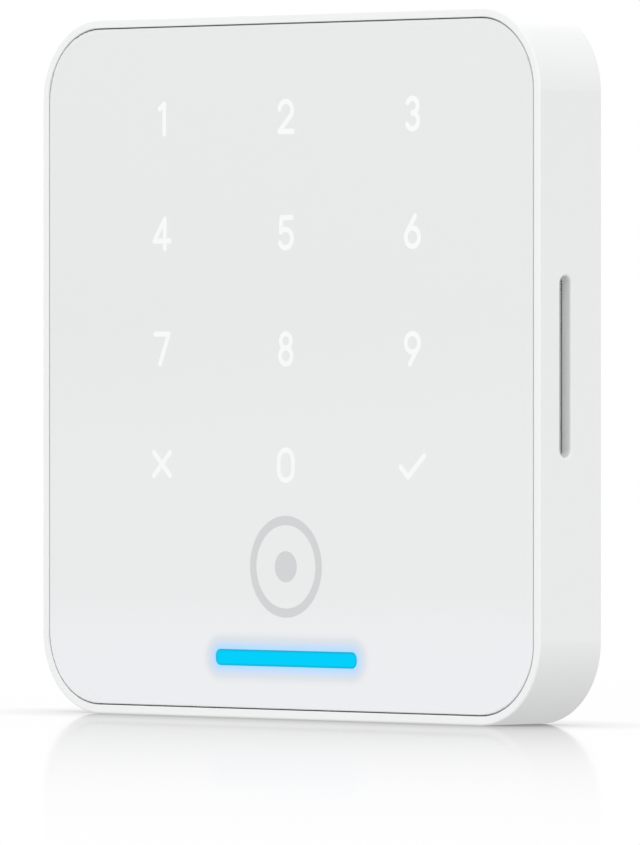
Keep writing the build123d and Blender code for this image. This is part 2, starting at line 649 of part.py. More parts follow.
write("network_jack", network_jack)

with BuildPart() as jack_shield:
    layer(JACK_WIDTH, JACK_HEIGHT, 0.3, BOARD_BACK + 0.2, HUMP_BACK, (0, JACK_Z))
    layer(BODY_WIDTH, BODY_HEIGHT, 0.2, BOARD_BACK, HUMP_BACK, (0, JACK_Z), mode=Mode.SUBTRACT)
write("jack_shield", jack_shield)

CONTACTS = 8
CONTACT_PITCH = 1.02
CONTACT_WIDTH = 0.4
CONTACT_T = 0.4
CONTACT_ROOT_T = 0.7
CONTACT_ROOT = SOCKET_Z + SOCKET_HEIGHT / 2
CONTACT_ROOT_Y = HUMP_BACK - BODY_DEPTH - 2.0
CONTACT_TIP_Y = SOCKET_FLOOR - BODY_DEPTH + 3.0
CONTACT_TIP_Z = CONTACT_ROOT - 1.9
with BuildPart() as jack_contacts:
    for contact in range(CONTACTS):
        contact_x = (contact - (CONTACTS - 1) / 2) * CONTACT_PITCH
        with BuildSketch(Plane.YZ.offset(contact_x - CONTACT_WIDTH / 2)) as profile:
            with BuildLine():
                Polyline((CONTACT_ROOT_Y, CONTACT_ROOT), (CONTACT_TIP_Y, CONTACT_TIP_Z),
                         (CONTACT_TIP_Y, CONTACT_TIP_Z - CONTACT_T),
                         (CONTACT_ROOT_Y + CONTACT_ROOT_T, CONTACT_ROOT), close=True)
            make_face()
        extrude(profile.sketch, amount=CONTACT_WIDTH)
write("jack_contacts", jack_contacts)

SEAL_LIP = 2.0
SEAL_T = 0.8
with BuildPart() as jack_seal:
    seal_back = HUMP_BACK - HUMP_WALL
    layer(JACK_WIDTH + 2 * SEAL_LIP, JACK_HEIGHT + 2 * SEAL_LIP, 1.5, seal_back - SEAL_T, seal_back,
          (0, JACK_Z))
    layer(JACK_WIDTH, JACK_HEIGHT, 0.3, seal_back - SEAL_T, seal_back, (0, JACK_Z), mode=Mode.SUBTRACT)
write("jack_seal", jack_seal)

# ---- tamper plunger, reset button and their switches ----

FLANGE_FRONT = COVER_FRONT - 0.8
FLANGE_BACK = COVER_FRONT - 0.1
PLUNGER_TIP_R = 0.4
with BuildPart() as tamper_plunger:
    discs(TAMPER, TAMPER_R, FLANGE_FRONT, BODY_DEPTH + TAMPER_TRAVEL)
    discs(TAMPER, TAMPER_FLANGE_R, FLANGE_FRONT, FLANGE_BACK)
    fillet(tamper_plunger.faces().sort_by(Axis.Y)[-1].edges(), PLUNGER_TIP_R)
write("tamper_plunger", tamper_plunger)

SWITCH_BODY = (TAMPER_X - 7.6, TAMPER_X - 3.0)
SWITCH_HALF = 1.8
SWITCH_BACK = 7.5
LEVER_END = TAMPER_X + 1.2
LEVER_HALF = 1.0
LEVER_BACK = 6.05
with BuildPart() as tamper_switch:
    block(SWITCH_BODY, (TAMPER_Z - SWITCH_HALF, TAMPER_Z + SWITCH_HALF), BOARD_BACK, SWITCH_BACK)
    block((SWITCH_BODY[1], LEVER_END), (TAMPER_Z - LEVER_HALF, TAMPER_Z + LEVER_HALF),
          BOARD_BACK, LEVER_BACK)
write("tamper_switch", tamper_switch)

RESET_TRAVEL = 0.5
RESET_FRONT = 7.3
RESET_FLANGE = 0.8
RESET_DISH = (0.5, 0.3)
with BuildPart() as reset_button:
    dish_margin, dish_depth = RESET_DISH
    discs(RESET, RESET_R, RESET_FRONT, COVER_BACK)
    discs(RESET, RESET_R + RESET_FLANGE, RESET_FRONT, FLANGE_BACK)
    discs(RESET, RESET_R - dish_margin, COVER_BACK - dish_depth, COVER_BACK, mode=Mode.SUBTRACT)
write("reset_button", reset_button)

RESET_SWITCH = (4.2, 3.2)
RESET_SWITCH_BACK = 6.5
RESET_STEM_R = 0.9
with BuildPart() as reset_switch:
    layer(*RESET_SWITCH, 0.2, BOARD_BACK, RESET_SWITCH_BACK, (RESET_X, RESET_Z))
    discs(RESET, RESET_STEM_R, RESET_SWITCH_BACK, RESET_FRONT - RESET_TRAVEL - 0.1)
write("reset_switch", reset_switch)

# ---- wall plate ----

with BuildPart() as wall_plate:
    plate_height = PLATE_TOP - PLATE_BOTTOM
    plate_middle = (PLATE_TOP + PLATE_BOTTOM) / 2
    layer(PLATE_WIDTH, plate_height, PLATE_R, PLATE_FRONT, BODY_DEPTH, (0, plate_middle))
    window = HUMP + 2 * CLEAR
    layer(window, window + LIFT, HUMP_R, PLATE_FRONT, BODY_DEPTH, (0, LIFT / 2), mode=Mode.SUBTRACT)
    with BuildSketch(behind(PLATE_FRONT)) as fixing_slots:
        with Locations((-FIXING_X, 0), (FIXING_X, 0)):
            SlotOverall(FIXING_SLOT, 2 * FIXING_HOLE_R)
    extrude(fixing_slots.sketch, amount=PLATE_FRONT - BODY_DEPTH, mode=Mode.SUBTRACT)
    with BuildSketch(behind(PLATE_FRONT)) as tamper_slot:
        with Locations((TAMPER_X, TAMPER_Z + LIFT / 2)):
            SlotOverall(2 * (TAMPER_R + CLEAR) + LIFT, 2 * (TAMPER_R + CLEAR), rotation=90)
    extrude(tamper_slot.sketch, amount=PLATE_FRONT - BODY_DEPTH, mode=Mode.SUBTRACT)
    fillet(wall_plate.faces().sort_by(Axis.Y)[-1].edges(), PLATE_EDGE_R)
    for hook_x in (-HOOK_X, HOOK_X):
        hook_span = (hook_x - HOOK_WIDTH / 2, hook_x + HOOK_WIDTH / 2)
        for web_z in HOOK_WEB_Z:
            block(hook_span, (web_z, web_z + HOOK_T), HOOK_FRONT, PLATE_FRONT)
            block(hook_span, (web_z + HOOK_T, web_z + HOOK_T + HOOK_REACH),
                  HOOK_FRONT, HOOK_FRONT + HOOK_T)
    tab_span = (-TAB_WIDTH / 2, TAB_WIDTH / 2)
    block(tab_span, (TAB_TOP - TAB_T, PLATE_BOTTOM + 1), PLATE_FRONT, BODY_DEPTH)
    block(tab_span, (TAB_TOP - TAB_T, TAB_TOP), TAB_FRONT, PLATE_FRONT)
    with BuildSketch(Plane.XY.offset(TAB_TOP)) as lock_hole:
        with Locations((0, LOCK_DEPTH - BODY_DEPTH)):
            Circle(LOCK_SHANK_R + CLEAR)
    extrude(lock_hole.sketch, amount=-TAB_T, mode=Mode.SUBTRACT)
write("wall_plate", wall_plate)

# ---- lock screw, its washer and the insert it threads into ----

HEAD_TOP = TAB_TOP - TAB_T - WASHER_T - 2 * WASHER_FIT
LOCK_HEAD_EDGE_R = 0.3
LOCK_TIP_CHAMFER = 0.4
LOCK_DRIVE_R = 1.15
LOCK_DRIVE_PIN_R = 0.4
LOCK_DRIVE_DEPTH = 0.9
SCREW_CENTRE = (0, LOCK_DEPTH - BODY_DEPTH)
with BuildPart() as lock_screw:
    with BuildSketch(Plane.XY.offset(HEAD_TOP - LOCK_HEAD_T)) as head:
        with Locations(SCREW_CENTRE):
            Circle(LOCK_HEAD_R)
    extrude(head.sketch, amount=LOCK_HEAD_T)
    with BuildSketch(Plane.XY.offset(HEAD_TOP)) as shank:
        with Locations(SCREW_CENTRE):
            Circle(LOCK_SHANK_R)
    extrude(shank.sketch, amount=LOCK_TIP_Z - HEAD_TOP)
    chamfer(lock_screw.faces().sort_by(Axis.Z)[-1].edges(), LOCK_TIP_CHAMFER)
    fillet(lock_screw.faces().sort_by(Axis.Z)[0].edges(), LOCK_HEAD_EDGE_R)
    with BuildSketch(Plane.XY.offset(HEAD_TOP - LOCK_HEAD_T)) as drive:
        with Locations(SCREW_CENTRE):
            RegularPolygon(LOCK_DRIVE_R, 6)
            Circle(LOCK_DRIVE_PIN_R, mode=Mode.SUBTRACT)
    extrude(drive.sketch, amount=LOCK_DRIVE_DEPTH, mode=Mode.SUBTRACT)
write("lock_screw", lock_screw)

with BuildPart() as lock_washer:
    with BuildSketch(Plane.XY.offset(HEAD_TOP + WASHER_FIT)) as washer:
        with Locations(SCREW_CENTRE):
            Circle(LOCK_HEAD_R)
            Circle(LOCK_SHANK_R + WASHER_FIT, mode=Mode.SUBTRACT)
    extrude(washer.sketch, amount=WASHER_T)
write("lock_washer", lock_washer)

with BuildPart() as lock_insert:
    with BuildSketch(Plane.XY.offset(BOSS_BOTTOM)) as insert:
        with Locations(SCREW_CENTRE):
            Circle(INSERT_R)
            Circle(LOCK_SHANK_R + SCREW_FIT, mode=Mode.SUBTRACT)
    extrude(insert.sketch, amount=INSERT_LENGTH)
write("lock_insert", lock_insert)
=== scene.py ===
import json
import math
import bmesh
import bpy
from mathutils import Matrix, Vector


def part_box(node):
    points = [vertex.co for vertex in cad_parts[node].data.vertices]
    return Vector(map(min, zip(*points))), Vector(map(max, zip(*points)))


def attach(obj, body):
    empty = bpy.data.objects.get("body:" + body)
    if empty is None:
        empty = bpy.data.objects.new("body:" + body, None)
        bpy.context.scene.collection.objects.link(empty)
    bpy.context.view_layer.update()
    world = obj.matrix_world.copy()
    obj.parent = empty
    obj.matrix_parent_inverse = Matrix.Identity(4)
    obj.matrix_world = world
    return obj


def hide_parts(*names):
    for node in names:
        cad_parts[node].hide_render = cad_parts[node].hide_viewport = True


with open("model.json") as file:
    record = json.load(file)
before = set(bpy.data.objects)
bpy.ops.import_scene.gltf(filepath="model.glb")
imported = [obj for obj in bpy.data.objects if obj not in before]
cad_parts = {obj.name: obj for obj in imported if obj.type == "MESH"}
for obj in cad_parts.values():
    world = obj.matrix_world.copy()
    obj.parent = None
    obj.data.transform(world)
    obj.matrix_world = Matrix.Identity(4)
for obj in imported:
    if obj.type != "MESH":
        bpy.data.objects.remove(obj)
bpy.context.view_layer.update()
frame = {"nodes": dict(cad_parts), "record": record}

NODES = frame["nodes"]
SLOT_OF = {part["node"]: part["material_slot"] for part in frame["record"]["subparts"]}
BASE_COLOUR = {m["slot"]: m["base_color"] for m in frame["record"]["materials"]}

MM = 0.001
WHITE = (1, 1, 1, 1)
COLOUR_A, COLOUR_B, COLOUR_RESULT = 6, 7, 2     # the Mix node's colour sockets, by place


# ---------------------------------------------------------------- node helpers

class Shade:
    """A new material with short ways to add nodes, working in object coordinates."""

    def __init__(self, name):
        self.material = bpy.data.materials.new(name)
        self.material.use_nodes = True
        self.tree = self.material.node_tree
        self.bsdf = self.tree.nodes["Principled BSDF"]
        self.place = self.add("ShaderNodeTexCoord").outputs["Object"]

    def add(self, kind, **settings):
        node = self.tree.nodes.new(kind)
        for key, value in settings.items():
            setattr(node, key, value)
        return node

    def link(self, output, socket):
        self.tree.links.new(output, socket)

    def set(self, **values):
        """Constant values on the shader's own sockets."""
        for key, value in values.items():
            self.bsdf.inputs[key.replace("_", " ")].default_value = value

    def feed(self, socket, value):
        """Put a number or another node's output into a socket."""
        if isinstance(value, bpy.types.NodeSocket):
            self.link(value, socket)
        else:
            socket.default_value = value

    def math(self, operation, a, b=0.0):
        node = self.add("ShaderNodeMath", operation=operation)
        for socket, value in zip(node.inputs, (a, b)):
            self.feed(socket, value)
        return node.outputs[0]

    def length(self, a, b):
        """The long side over two lengths at a right angle."""
        return self.math("SQRT", self.math("ADD", self.math("MULTIPLY", a, a), self.math("MULTIPLY", b, b)))

    def noise(self, feature_mm, detail=2.0, roughness=0.5, place=None):
        """Fractal noise with features about this size."""
        node = self.add("ShaderNodeTexNoise")
        self.link(place or self.place, node.inputs["Vector"])
        node.inputs["Scale"].default_value = 1 / (feature_mm * MM)
        node.inputs["Detail"].default_value = detail
        node.inputs["Roughness"].default_value = roughness
        return node.outputs["Fac"]

    def cells(self, feature_mm, feature="F1", randomness=1.0):
        """Cells about this size, such as grains, bubbles or pads."""
        node = self.add("ShaderNodeTexVoronoi", feature=feature)
        self.link(self.place, node.inputs["Vector"])
        node.inputs["Scale"].default_value = 1 / (feature_mm * MM)
        node.inputs["Randomness"].default_value = randomness
        return node

    def stretched(self, scale):
        """Object coordinates scaled on each axis, for marks that run long on one of them."""
        node = self.add("ShaderNodeMapping")
        self.link(self.place, node.inputs["Vector"])
        node.inputs["Scale"].default_value = scale
        return node.outputs["Vector"]

    def axes(self):
        """The three object coordinates, in metres."""
        split = self.add("ShaderNodeSeparateXYZ")
        self.link(self.place, split.inputs[0])
        return split.outputs

    def spread(self, value, low, high, from_low=0.0, from_high=1.0):
        """Map a value to another span, kept inside it."""
        node = self.add("ShaderNodeMapRange", clamp=True)
        self.link(value, node.inputs["Value"])
        for key, number in zip(("From Min", "From Max", "To Min", "To Max"),
                               (from_low, from_high, low, high)):
            node.inputs[key].default_value = number
        return node.outputs["Result"]

    def mix(self, factor, a, b):
        """Mix two colours, each a tuple or another node's output."""
        node = self.add("ShaderNodeMix", data_type="RGBA")
        self.feed(node.inputs["Factor"], factor)
        for socket, value in zip((node.inputs[COLOUR_A], node.inputs[COLOUR_B]), (a, b)):
            self.feed(socket, value if isinstance(value, bpy.types.NodeSocket) else (*value, 1.0))
        return node.outputs[COLOUR_RESULT]

    def blend(self, mode, a, b):
        """Combine two colours at full strength, such as MULTIPLY or ADD."""
        node = self.add("ShaderNodeMix", data_type="RGBA", blend_type=mode)
        node.inputs["Factor"].default_value = 1.0
        self.link(a, node.inputs[COLOUR_A])
        self.link(b, node.inputs[COLOUR_B])
        return node.outputs[COLOUR_RESULT]

    def ramp(self, value, steps):
        """Colours at steps from 0 to 1, blended between them."""
        node = self.add("ShaderNodeValToRGB")
        self.link(value, node.inputs["Fac"])
        stops = node.color_ramp.elements
        stops[0].color = (*steps[0][1], 1.0)
        stops[-1].color = (*steps[-1][1], 1.0)
        for position, colour in steps[1:-1]:
            stops.new(position).color = (*colour, 1.0)
        return node.outputs["Color"]

    def bump(self, height, strength, depth_mm):
        node = self.add("ShaderNodeBump")
        node.inputs["Strength"].default_value = strength
        node.inputs["Distance"].default_value = depth_mm * MM
        self.link(height, node.inputs["Height"])
        return node.outputs["Normal"]

    def glow(self, strength):
        """White light of this strength."""
        node = self.add("ShaderNodeEmission")
        node.inputs["Color"].default_value = WHITE
        self.feed(node.inputs["Strength"], strength)
        return node.outputs[0]

    def mix_shaders(self, factor, a, b):
        node = self.add("ShaderNodeMixShader")
        for socket, output in zip(node.inputs, (factor, a, b)):
            self.link(output, socket)
        return node.outputs[0]

    def finish(self, colour, roughness, normal=None):
        """Link the results to the shader and hand over the material."""
        self.link(colour, self.bsdf.inputs["Base Color"])
        self.link(roughness, self.bsdf.inputs["Roughness"])
        if normal is not None:
            self.link(normal, self.bsdf.inputs["Normal"])
        return self.material


def tinted(colour, gain):
    """A colour made lighter or darker, up to white."""
    return tuple(min(1.0, channel * gain) for channel in colour)


# ---------------------------------------------------------------- materials

def moulded(slot, roughness, grain_mm=0.35, grain_depth_mm=0.004, tone=0.02, coat=0.0, gain=1.0):
    """Injection-moulded plastic: spark-eroded grain, slight flow marks and uneven gloss."""
    shade = Shade(slot)
    colour = tinted(BASE_COLOUR[slot], gain)
    flow = shade.noise(14.0, detail=3.0)
    grain = shade.noise(grain_mm, detail=4.0, roughness=0.6)
    tint = shade.mix(flow, tinted(colour, 1 - tone), tinted(colour, 1 + tone))
    gloss = shade.math("ADD", shade.spread(flow, roughness - 0.03, roughness + 0.03),
                       shade.spread(grain, -0.03, 0.03))
    shade.set(Coat_Weight=coat, Coat_Roughness=0.2)
    return shade.finish(tint, gloss, shade.bump(grain, 0.5, grain_depth_mm))


def metal(slot, roughness, streak=(1, 1, 1), streak_mm=0.15, tone=0.06, gain=1.0):
    """Metal with stretched drawing or turning marks and a few dull patches."""
    shade = Shade(slot)
    colour = tinted(BASE_COLOUR[slot], gain)
    marks = shade.noise(streak_mm, detail=3.0, place=shade.stretched(streak))
    patches = shade.noise(5.0, detail=4.0)
    tint = shade.mix(patches, tinted(colour, 1 - tone), tinted(colour, 1 + tone))
    gloss = shade.math("ADD", shade.spread(marks, roughness - 0.08, roughness + 0.08),
                       shade.spread(patches, -0.05, 0.05))
    shade.set(Metallic=1.0)
    return shade.finish(tint, gloss, shade.bump(marks, 0.4, 0.003))


def housing_white():
    """Satin white shell with an almost invisible grain."""
    return moulded("housing_white", 0.36, grain_mm=0.22, grain_depth_mm=0.0015, tone=0.004,
                   gain=HOUSING_GAIN)


def bar_distance(shade):
    """Distance from the light bar's outline, less than 0 inside it."""
    x, _, z = shade.axes()
    low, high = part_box("light_bar_lens")
    beyond = []
    for value, side in ((x, 0), (z, 2)):
        middle, half = (low[side] + high[side]) / 2, (high[side] - low[side]) / 2
        offset = shade.math("ABSOLUTE", shade.math("SUBTRACT", value, middle))
        beyond.append(shade.math("SUBTRACT", offset, half - BAR_END_R))
    outside = [shade.math("MAXIMUM", value, 0.0) for value in beyond]
    inside = shade.math("MINIMUM", shade.math("MAXIMUM", *beyond), 0.0)
    return shade.math("SUBTRACT", shade.math("ADD", shade.length(*outside), inside), BAR_END_R)


def panel_white():
    """Touch panel: fine even grain, with painted light: the bar's halo and a faint brightening towards its
    lower edge.
    """
    shade = Shade("panel_white")
    colour = BASE_COLOUR["panel_white"]
    flow = shade.noise(30.0, detail=2.0)
    grain = shade.noise(0.12, detail=3.0, roughness=0.6)
    tint = shade.mix(flow, tinted(colour, 0.998), tinted(colour, 1.002))
    gloss = shade.math("ADD", shade.spread(flow, 0.30, 0.36), shade.spread(grain, -0.02, 0.02))
    _, y, z = shade.axes()
    from_bar = shade.spread(bar_distance(shade), 0.0, 1.0, 0.0, HALO_REACH)
    # Painted light: the front grows brighter towards the panel's lower edge
    painted_low_light = shade.ramp(shade.spread(z, 0.0, 1.0, PAINTED_LOW_LIGHT_TOP, PANEL_LOW[2]), PAINTED_LOW_LIGHT_STEPS)
    front = shade.math("LESS_THAN", y, PANEL_LOW[1] + PAINTED_LIGHT_INSET)
    # Painted light: the bar's halo and the brightening towards the lower edge go into the emission
    lit = shade.blend("ADD", shade.ramp(from_bar, PAINTED_HALO_GLOW), shade.mix(front, UNLIT, painted_low_light))
    shade.link(lit, shade.bsdf.inputs["Emission Color"])
    shade.set(Emission_Strength=1.0)
    # Painted light: the surface colour is tinted cyan near the bar, as if the bar lit it
    surface = shade.blend("MULTIPLY", tint, shade.ramp(from_bar, PAINTED_HALO_TINT))
    return shade.finish(surface, gloss, shade.bump(grain, 0.4, 0.0008))


def legend_white():
    """Backlit legends: a little uneven where the lamp behind each is nearer."""
    shade = Shade("legend_white")
    cloud = shade.noise(2.5, detail=2.0)
    shade.link(shade.mix(cloud, *LEGEND_GLOW), shade.bsdf.inputs["Emission Color"])
    shade.set(Emission_Strength=LEGEND_LIGHT)
    return shade.finish(shade.mix(cloud, *LEGEND_TINT), shade.spread(cloud, 0.3, 0.4))


def tap_grey():
    """Printed grey mark with the soft mottling of a screen print."""
    shade = Shade("tap_grey")
    print_grain = shade.noise(0.15, detail=3.0)
    colour = BASE_COLOUR["tap_grey"]
    tint = shade.mix(print_grain, tinted(colour, 0.98), tinted(colour, 1.02))
    return shade.finish(tint, shade.spread(print_grain, 0.42, 0.52),
                        shade.bump(print_grain, 0.3, 0.001))


def light_cyan():
    """Lit light pipe: even in the middle, deeper along its outline."""
    shade = Shade("light_cyan")
    edge = shade.spread(bar_distance(shade), 0.0, 1.0, -BAR_EDGE_WIDTH, 0.0)
    cloud = shade.noise(1.5, detail=2.0)
    core = shade.mix(cloud, BAR_CORE, tinted(BAR_CORE, 1.02))
    shade.link(shade.mix(edge, core, BAR_EDGE), shade.bsdf.inputs["Emission Color"])
    shade.set(Emission_Strength=1.0, Specular_IOR_Level=0.01)
    return shade.finish(shade.mix(edge, *BAR_BODY), shade.spread(cloud, 0.25, 0.35))


def circuit_board():
    """Solder mask over traces and pads, on glass-epoxy weave."""
    shade = Shade("circuit_board")
    x, _, z = shade.axes()
    green = BASE_COLOUR["circuit_board"]
    traces = shade.cells(2.6, feature="DISTANCE_TO_EDGE", randomness=0.35)
    track = shade.spread(traces.outputs["Distance"], 1.0, 0.0, 0.05, 0.09)
    weave = shade.math("MULTIPLY", shade.math("SINE", shade.math("MULTIPLY", x, GLASS_TURN)),
                       shade.math("SINE", shade.math("MULTIPLY", z, GLASS_TURN)))
    pads = shade.cells(1.9, randomness=0.2)
    pad = shade.spread(pads.outputs["Distance"], 1.0, 0.0, 0.12, 0.14)
    tint = shade.mix(track, green, tinted(green, 1.7))
    tint = shade.mix(pad, tint, PAD_GOLD)
    height = shade.math("ADD", shade.math("MULTIPLY", track, TRACK_HEIGHT),
                        shade.math("MULTIPLY", weave, WEAVE_HEIGHT))
    gloss = shade.spread(shade.noise(3.0), 0.28, 0.4)
    return shade.finish(tint, gloss, shade.bump(height, 0.6, 0.02))


def ferrite_grey():
    """Sintered ferrite: dark, dull and finely pitted."""
    shade = Shade("ferrite_grey")
    pits = shade.cells(0.25).outputs["Distance"]
    cloud = shade.noise(2.0, detail=4.0)
    colour = BASE_COLOUR["ferrite_grey"]
    return shade.finish(shade.mix(cloud, tinted(colour, 0.8), tinted(colour, 1.25)),
                        shade.spread(cloud, 0.55, 0.75), shade.bump(pits, 0.5, 0.01))


def foam(slot):
    """Closed-cell foam: small round cells and a dusty look."""
    shade = Shade(slot)
    bubbles = shade.cells(0.18).outputs["Distance"]
    colour = BASE_COLOUR[slot]
    return shade.finish(shade.mix(bubbles, tinted(colour, 0.7), tinted(colour, 1.5)),
                        shade.spread(bubbles, 0.8, 0.95), shade.bump(bubbles, 0.8, 0.05))


def silicone(slot):
    """Moulded silicone with dust-dull patches."""
    shade = Shade(slot)
    cloud = shade.noise(1.2, detail=4.0)
    colour = BASE_COLOUR[slot]
    return shade.finish(shade.mix(cloud, tinted(colour, 0.9), tinted(colour, 1.15)),
                        shade.spread(cloud, 0.45, 0.65), shade.bump(cloud, 0.3, 0.01))


def membrane_white():
    """Vent membrane: a fine square weave of threads."""
    shade = Shade("membrane_white")
    _, y, z = shade.axes()
    turn = 2 * math.pi / THREAD_PITCH
    across = shade.math("SINE", shade.math("MULTIPLY", y, turn))
    along = shade.math("SINE", shade.math("MULTIPLY", z, turn))
    threads = shade.math("MAXIMUM", shade.math("ABSOLUTE", across), shade.math("ABSOLUTE", along))
    fuzz = shade.noise(0.08, detail=2.0)
    colour = BASE_COLOUR["membrane_white"]
    return shade.finish(shade.mix(threads, tinted(colour, 0.4), tinted(colour, 1.1)),
                        shade.spread(fuzz, 0.67, 0.83), shade.bump(threads, 0.6, 0.03))


def plate_steel():
    """Zinc-plated sheet: fine spangle under long rolling marks, with a duller bloom in patches."""
    shade = Shade("plate_steel")
    crystal = shade.add("ShaderNodeSeparateColor")
    shade.link(shade.cells(1.1).outputs["Color"], crystal.inputs[0])
    colour = BASE_COLOUR["plate_steel"]
    bloom = shade.noise(16.0, detail=6.0, roughness=0.6)
    marks = shade.noise(0.3, detail=5.0, roughness=0.7, place=shade.stretched(ROLLING))
    tint = shade.mix(crystal.outputs[0], tinted(colour, 0.97), tinted(colour, 1.03))
    tint = shade.mix(shade.spread(marks, 0.0, 1.0, 0.3, 0.7), tinted(colour, 0.86), tint)
    tint = shade.mix(shade.spread(bloom, 0.0, 0.6, 0.35, 0.7), tint, tinted(colour, 1.18))
    gloss = shade.math("ADD", shade.spread(bloom, 0.24, 0.42, 0.3, 0.7),
                       shade.spread(marks, -0.08, 0.08))
    shade.set(Metallic=1.0, Anisotropic=0.5)
    return shade.finish(tint, gloss, shade.bump(marks, 0.35, 0.006))


def label_paper():
    """Matt label printed with ruled lines and nothing to read."""
    shade = Shade("label_paper")
    x, _, z = shade.axes()
    low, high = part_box("rating_label")
    paper = BASE_COLOUR["label_paper"]
    fibre = shade.noise(0.2, detail=4.0)
    from_line = shade.math("PINGPONG", shade.math("SUBTRACT", z, low[2]), RULE_GAP / 2)
    line = shade.spread(from_line, 1.0, 0.0, RULE_HALF, RULE_EDGE)
    from_middle = shade.math("ABSOLUTE", shade.math("SUBTRACT", z, (low[2] + high[2]) / 2))
    inside_x = shade.math("LESS_THAN", shade.math("ABSOLUTE", x), (high[0] - low[0]) / 2 - LABEL_MARGIN_X)
    inside_z = shade.math("LESS_THAN", from_middle, (high[2] - low[2]) / 2 - LABEL_MARGIN_Z)
    ink = shade.math("MULTIPLY", line, shade.math("MULTIPLY", inside_x, inside_z))
    tint = shade.mix(ink, shade.mix(fibre, tinted(paper, 0.97), tinted(paper, 1.03)), LABEL_INK)
    return shade.finish(tint, shade.spread(fibre, 0.5, 0.62), shade.bump(fibre, 0.2, 0.004))


def film_white(slot):
    """White reflective moulding or film with a soft haze."""
    shade = Shade(slot)
    haze = shade.noise(4.0, detail=3.0)
    colour = BASE_COLOUR[slot]
    return shade.finish(shade.mix(haze, tinted(colour, 0.96), tinted(colour, 1.03)),
                        shade.spread(haze, 0.38, 0.5), shade.bump(haze, 0.15, 0.01))


def led_yellow():
    """Phosphor-filled lamp: grainy, with a clear resin skin."""
    shade = Shade("led_yellow")
    grains = shade.noise(0.06, detail=3.0)
    colour = BASE_COLOUR["led_yellow"]
    shade.set(Coat_Weight=0.6, Coat_Roughness=0.08)
    return shade.finish(shade.mix(grains, tinted(colour, 0.85), tinted(colour, 1.1)),
                        shade.spread(grains, 0.3, 0.45), shade.bump(grains, 0.3, 0.004))


# Gains on the record's colours
HOUSING_GAIN = 1.045
MESH_GAIN = 3.4

# Legends: each pair is the darkest and the lightest of their cloudy light and colour
LEGEND_LIGHT = 0.02
LEGEND_GLOW = ((0.8, 0.81, 0.82), (1.0, 1.0, 1.0))
LEGEND_TINT = ((0.91, 0.92, 0.92), (0.935, 0.94, 0.94))

# Light bar: its lit core and outline, and its body in the middle and at the outline
BAR_END_R = 0.8 * MM
BAR_EDGE_WIDTH = 0.3 * MM
BAR_CORE = (0.0, 0.60, 0.93)
BAR_EDGE = (0.01, 0.37, 0.56)
BAR_BODY = ((0.0, 0.02, 0.03), (0.0, 0.04, 0.06))

# Painted halo on the panel: the bar's light painted as added glow and as a cyan tint of the surface colour,
# from the bar's outline out to its reach
HALO_REACH = 2.4 * MM
PAINTED_HALO_GLOW = (
    (0.0, (0.0, 0.0, 0.19)), (0.28, (0.0, 0.0, 0.135)), (0.5, (0.0, 0.0, 0.012)), (0.6, (0.0, 0.0, 0.0)),
    (1.0, (0.0, 0.0, 0.0)),
)
PAINTED_HALO_TINT = (
    (0.0, (0.42, 0.90, 0.93)), (0.18, (0.60, 0.84, 0.93)), (0.39, (0.765, 0.875, 0.93)),
    (0.59, (0.86, 0.90, 0.93)), (0.75, (0.95, 0.96, 0.97)), (1.0, (1.0, 1.0, 1.0)),
)

# Painted light: the panel's front is painted faintly brighter from this height down to its lower edge
UNLIT = (0.0, 0.0, 0.0)
PAINTED_LOW_LIGHT_TOP = 5.0 * MM
PAINTED_LOW_LIGHT_STEPS = (
    (0.0, UNLIT), (0.37, (0.026, 0.019, 0.019)), (0.68, (0.027, 0.02, 0.022)),
    (0.82, (0.05, 0.043, 0.066)), (1.0, (0.052, 0.045, 0.07)),
)
# The painted light is kept to the front face, so the gap behind it stays unlit
PAINTED_LIGHT_INSET = 0.08 * MM       # the light stops this far behind the face, so the gap stays dark
PANEL_LOW, PANEL_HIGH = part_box("front_panel")

# Circuit boards: glass weave in radians for each metre, bare pads and heights for the bump
GLASS_TURN = 9000.0
PAD_GOLD = (0.62, 0.56, 0.32)
TRACK_HEIGHT = 0.8
WEAVE_HEIGHT = 0.08

# Label, membrane and rolled plate
LABEL_INK = (0.18, 0.19, 0.2)
LABEL_MARGIN_X = 2.0 * MM
LABEL_MARGIN_Z = 1.2 * MM
RULE_GAP = 2.0 * MM
RULE_HALF = 0.12 * MM
RULE_EDGE = 0.16 * MM
THREAD_PITCH = 0.4 * MM
ROLLING = (0.02, 1.0, 1.0)

